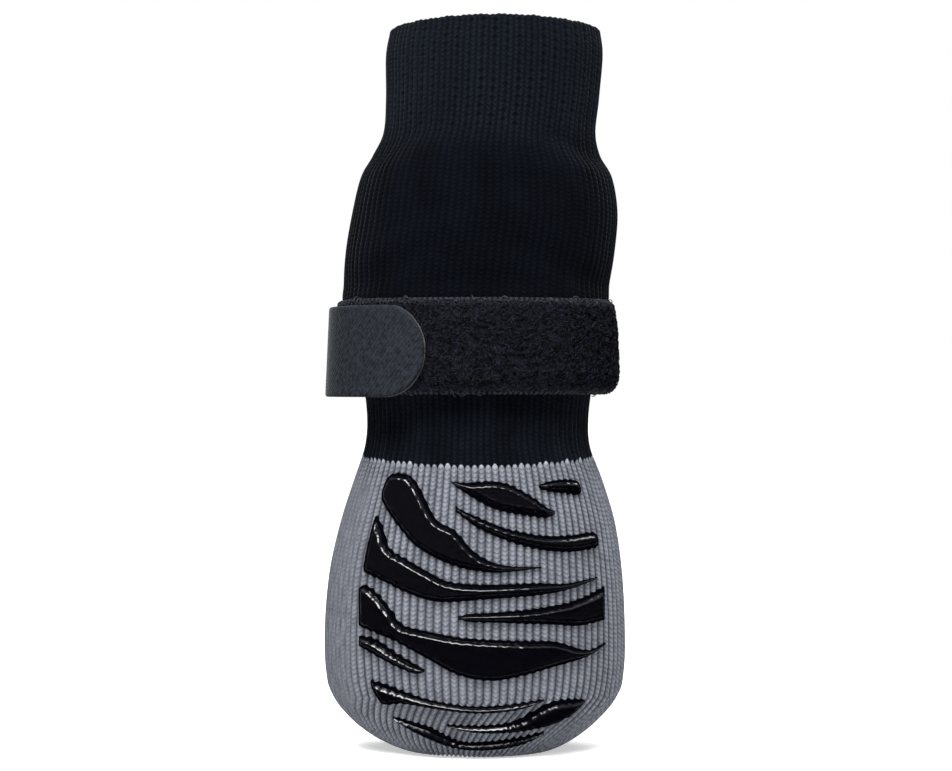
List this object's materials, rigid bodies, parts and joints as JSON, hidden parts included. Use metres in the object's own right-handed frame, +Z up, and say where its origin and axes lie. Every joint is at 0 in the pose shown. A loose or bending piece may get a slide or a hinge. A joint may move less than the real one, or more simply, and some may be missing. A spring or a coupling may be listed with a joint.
{
  "type": "dog sock",
  "caption": "Knitted dog sock with a rib cuff, a hook-and-loop ankle strap, a closed toe and raised silicone grip stripes on the paw.",
  "frame": {"origin": "on the floor, in the middle of the flat of the sole", "axes": "+Z up the sock to its collar, -Y to the front with the grips, +X to the viewer's right"},
  "size_m": [0.0641, 0.0428, 0.1537],
  "materials": {
    "knit": "matte ribbed knit, black leg and grey paw",
    "loop_tape": "brushed loop pile",
    "hook_tape": "matte woven tape",
    "silicone": "glossy raised print"
  },
  "bodies": {
    "root": {"sock_knit": "knit", "strap_band": "loop_tape", "strap_tab": "hook_tape", "grip_01": "silicone", "grip_02": "silicone", "grip_03": "silicone", "grip_04": "silicone", "grip_05": "silicone", "grip_06": "silicone", "grip_07": "silicone", "grip_08": "silicone", "grip_09": "silicone", "grip_10": "silicone", "grip_11": "silicone"}
  },
  "joints": []
}
